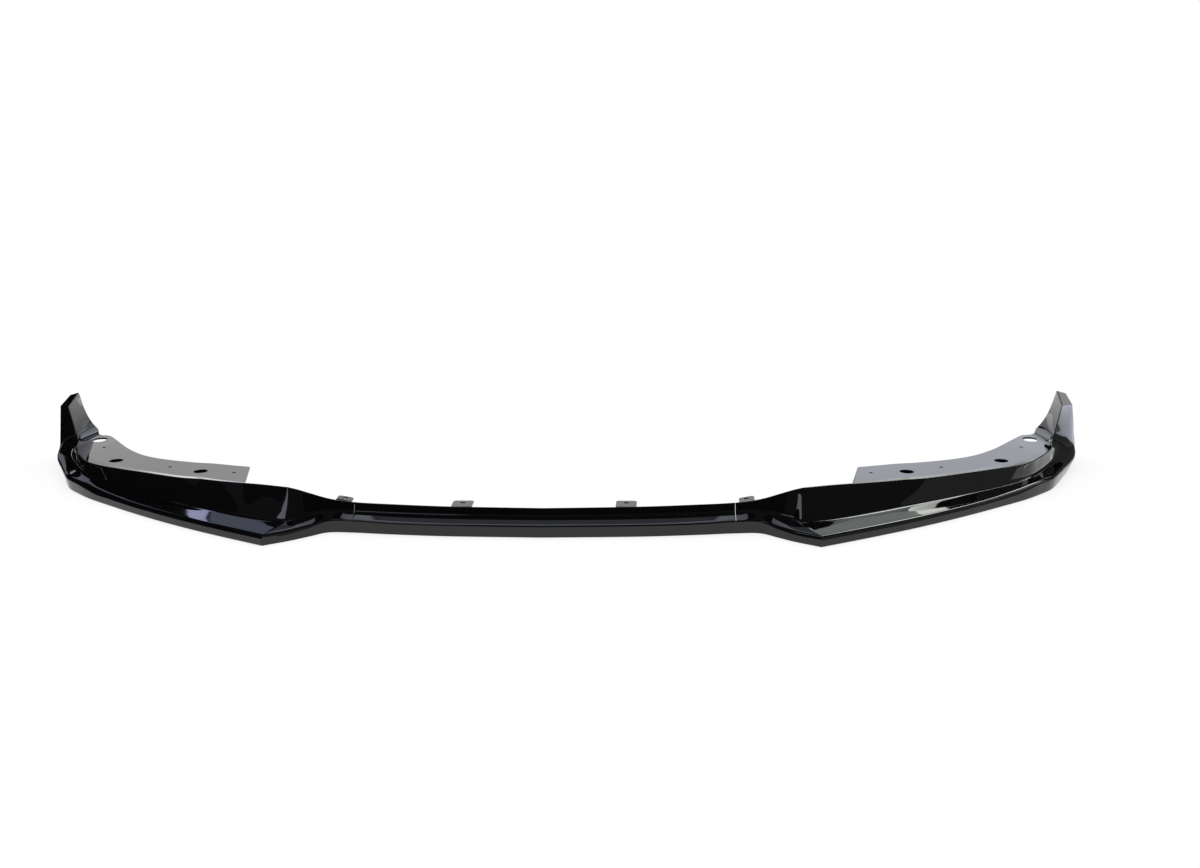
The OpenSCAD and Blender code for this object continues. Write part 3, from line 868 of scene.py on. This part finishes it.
@dataclass
class Studio:
    """Camera, floor, lamps and world."""

    focal_px: float = 1484.0
    image_width: int = 1200
    azimuth: float = 2.44
    elevation: float = 14.07
    roll: float = -0.63
    eye: tuple[float, float, float] = (0.1796, -2.3356, 0.6923)
    panel_y: float = 3.0
    floor_glow: float = 0.77

    def camera(self) -> None:
        """Adds the camera at the photograph's viewpoint."""
        data = bpy.data.cameras.new("camera")
        data.sensor_width = 36.0
        data.lens = self.focal_px * data.sensor_width / self.image_width
        data.clip_end = 200.0
        obj = bpy.data.objects.new("camera", data)
        bpy.context.scene.collection.objects.link(obj)
        a, e, r = (math.radians(v) for v in (self.azimuth, self.elevation, self.roll))
        right = Vector((math.cos(a), math.sin(a), 0))
        ahead = Vector((-math.sin(a) * math.cos(e), math.cos(a) * math.cos(e), -math.sin(e)))
        up = Vector((-math.sin(a) * math.sin(e), math.cos(a) * math.sin(e), math.cos(e)))
        across = math.cos(r) * right + math.sin(r) * up
        above = math.cos(r) * up - math.sin(r) * right
        turn = Matrix((across, above, -ahead)).transposed().to_4x4()
        obj.matrix_world = Matrix.Translation(self.eye) @ turn
        bpy.context.scene.camera = obj

    def floor(self) -> None:
        """Adds the pale floor, which keeps the shadow."""
        deselect()
        bpy.ops.mesh.primitive_plane_add(size=120, location=(0, 0, -0.0005))
        plane = bpy.context.object
        plane.name = "floor"
        made = bpy.data.materials.new("pale_floor")
        made.use_nodes = True
        nodes, links = made.node_tree.nodes, made.node_tree.links
        nodes.clear()
        out = nodes.new("ShaderNodeOutputMaterial")
        cloth = nodes.new("ShaderNodeBsdfDiffuse")
        cloth.inputs["Color"].default_value = (0.25, 0.25, 0.255, 1)
        glow = nodes.new("ShaderNodeEmission")
        glow.inputs["Strength"].default_value = self.floor_glow
        both = nodes.new("ShaderNodeAddShader")
        links.new(cloth.outputs[0], both.inputs[0])
        links.new(glow.outputs[0], both.inputs[1])
        links.new(both.outputs[0], out.inputs["Surface"])
        plane.data.materials.append(made)

    def lamp(
        self,
        name: str,
        at: Vector,
        aim: Vector,
        size: tuple[float, float],
        glow: tuple[float, float, float],
        along: Vector = Vector((1, 0, 0)),
    ) -> None:
        """Adds one soft box that shows in the gloss only.

        Args:
            name: Name of the lamp.
            at: Where it stands, in metres.
            aim: The point it faces.
            size: Width and height in metres.
            glow: Its brightness in red, green and blue.
            along: Which way its width runs.
        """
        data = bpy.data.lights.new(name, "AREA")
        data.shape = "RECTANGLE"
        data.size, data.size_y = size
        peak = max(glow)
        data.energy = peak * math.pi * size[0] * size[1]
        data.color = [c / peak for c in glow]
        obj = bpy.data.objects.new(name, data)
        bpy.context.scene.collection.objects.link(obj)
        back = (at - aim).normalized()
        across = (along - along.dot(back) * back).normalized()
        turn = Matrix((across, back.cross(across), back)).transposed().to_4x4()
        obj.matrix_world = Matrix.Translation(at) @ turn
        obj.visible_camera = False
        obj.visible_diffuse = False

    def lamps(self) -> None:
        """Adds the soft boxes behind and above the lip."""
        left_lean = Vector((math.cos(math.radians(26)), 0, math.sin(math.radians(26))))
        right_lean = Vector((math.cos(math.radians(31)), 0, -math.sin(math.radians(31))))
        level = Vector((1, 0, 0))
        for name, x, z, width, height, glow, along in (
            ("far_left_panel", -3.02, 0.75, 0.58, 0.7, (0.42, 0.42, 0.5), level),
            ("left_corner_panel", -2.62, 1.9, 0.6, 0.8, (0.5, 0.53, 0.7), level),
            ("right_corner_panel", 2.5, 2.0, 0.5, 0.6, (1.1, 1.14, 1.2), level),
            ("ledge_panel", -0.3, 2.5, 1.8, 0.4, (0.2, 0.22, 0.26), level),
            ("edge_panel", -0.35, 2.85, 1.9, 0.25, (0.95, 1.0, 1.2), level),
            ("top_panel", -0.2, 3.6, 2.6, 1.2, (0.8, 0.82, 0.95), level),
            ("horizon_left_panel", -1.17, 0.25, 2.14, 0.5, (0.6, 0.65, 0.72), level),
            ("low_right_panel", 1.35, 0.75, 1.2, 0.5, (0.25, 0.31, 0.42), level),
            ("high_middle_panel", -0.08, 1.78, 1.75, 0.94, (1.6, 1.66, 1.9), level),
            ("left_grey_panel", -1.7, 1.85, 0.36, 1.1, (0.36, 0.4, 0.55), left_lean),
            ("left_bright_panel", -1.95, 1.8, 0.1, 1.1, (1.6, 1.7, 2.6), left_lean),
            ("right_grey_panel", 1.4, 2.23, 0.52, 2.1, (0.92, 1.02, 1.0), right_lean),
            ("right_bright_panel", 1.54, 1.85, 0.15, 1.4, (3.9, 4.0, 3.7), right_lean),
            ("right_high_panel", 2.75, 4.05, 1.7, 2.0, (8.0, 8.3, 7.7), level),
        ):
            at = Vector((x, self.panel_y, z))
            self.lamp(name, at, at - Vector((0, 1, 0)), (width, height), glow, along)
        strip_at, strip_along = Vector((-2.18, -1.17, 4.39)), Vector((0.459, -0.193, 0.185))
        self.lamp("overhead_strip", strip_at, Vector((0, -0.2, 0)), (2.5, 0.79), (2.0, 2.05, 2.5), strip_along)
        self.lamp("corner_soft_box", Vector((3.3, 1.0, 1.95)), Vector((0.8, 0, 0)), (1.0, 0.4), (1.8, 1.85, 2.0))
        self.lamp("floor_card", Vector((1.37, 0.2, 0.0005)), Vector((1.37, 0.2, 1)), (0.5, 0.4), (2.6, 2.7, 3.3))

    def world(self) -> None:
        """Sets the white background, which every kind of ray sees."""
        world = bpy.data.worlds.new("studio")
        bpy.context.scene.world = world
        world.use_nodes = True
        white = world.node_tree.nodes["Background"]
        white.inputs["Color"].default_value = (1, 1, 1, 1)
        white.inputs["Strength"].default_value = 1.0

    def flags(self) -> None:
        """Stands plain cards round the set, outside the camera's view, which show in the gloss only."""
        upright, sideways = (90, 0, 0), (0, 90, 0)
        for name, at, turn, size, shade in (
            ("flag_above_backdrop", (0, 3.3, 4.15), upright, (14, 5.7), 0.002),
            ("flag_left_of_backdrop", (-4.85, 3.3, 1.0), upright, (4.3, 2.0), 0.002),
            ("flag_right_of_backdrop", (4.85, 3.3, 1.0), upright, (4.3, 2.0), 0.1),
            ("flag_left", (-7, -1.85, 4.45), sideways, (5.1, 10.3), 0.002),
            ("flag_right", (7, -1.85, 4.45), sideways, (5.1, 10.3), 0.25),
            ("flag_near_left", (-2.5, -0.7, 0.35), sideways, (0.7, 3.8), 0.002),
            ("flag_near_right", (2.5, -0.7, 0.35), sideways, (0.7, 3.8), 0.25),
            ("flag_behind_camera", (0, -7, 4.45), upright, (14, 5.1), 0.002),
            ("flag_overhead", (0, -1.85, 7), (0, 0, 0), (14, 10.3), 0.05),
            ("flag_on_floor", (-1.6, 0.38, 0.0005), (0, 0, 0), (1.36, 1.0), 0.002),
        ):
            deselect()
            turned = [math.radians(angle) for angle in turn]
            bpy.ops.mesh.primitive_plane_add(size=1, location=at, rotation=turned)
            card = bpy.context.object
            card.name = name
            card.scale = (*size, 1)
            settle(card)
            made = bpy.data.materials.new(name)
            made.use_nodes = True
            shader = made.node_tree.nodes["Principled BSDF"]
            shader.inputs["Base Color"].default_value = (shade, shade, shade, 1)
            shader.inputs["Roughness"].default_value = 1.0
            shader.inputs["Specular IOR Level"].default_value = 0.0
            card.data.materials.append(made)
            card.visible_camera = card.visible_diffuse = card.visible_shadow = card.visible_transmission = False

    def build(self) -> None:
        """Sets up the whole studio."""
        self.camera()
        self.floor()
        self.world()
        self.lamps()
        self.flags()
        bpy.context.scene.view_settings.view_transform = "Standard"


def dress(obj: bpy.types.Object, material: bpy.types.Material) -> None:
    """Gives obj one material."""
    obj.data.materials.clear()
    obj.data.materials.append(material)


def main() -> None:
    """Builds every piece, dresses it and sets up the studio."""
    logging.basicConfig(level=logging.INFO)
    line = LipLine()
    black = GlossBlack().material()
    screws, nuts = JointFasteners(line).build()
    steel = Steel("plain_steel", (0.42, 0.43, 0.44), (0.6, 0.6, 0.6)).material()
    dark_steel = Steel("blackened_steel", (0.03, 0.03, 0.034), (0.07, 0.07, 0.075)).material()
    pieces = (
        ("centre_section", CentreSection(line).build(), black, "gloss_black"),
        ("left_wing", Wing(line, Side.LEFT).build(), black, "gloss_black"),
        ("right_wing", Wing(line, Side.RIGHT).build(), black, "gloss_black"),
        ("joint_screws", screws, dark_steel, "black_steel"),
        ("joint_nuts", nuts, steel, "plain_steel"),
    )
    for node, piece, material, slot in pieces:
        dress(piece, material)
        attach(piece, "root")
        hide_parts(node)
        log.info("%s: %d faces", piece.name, len(piece.data.polygons))
    Studio().build()
    deselect()


if __name__ == "__main__":
    main()
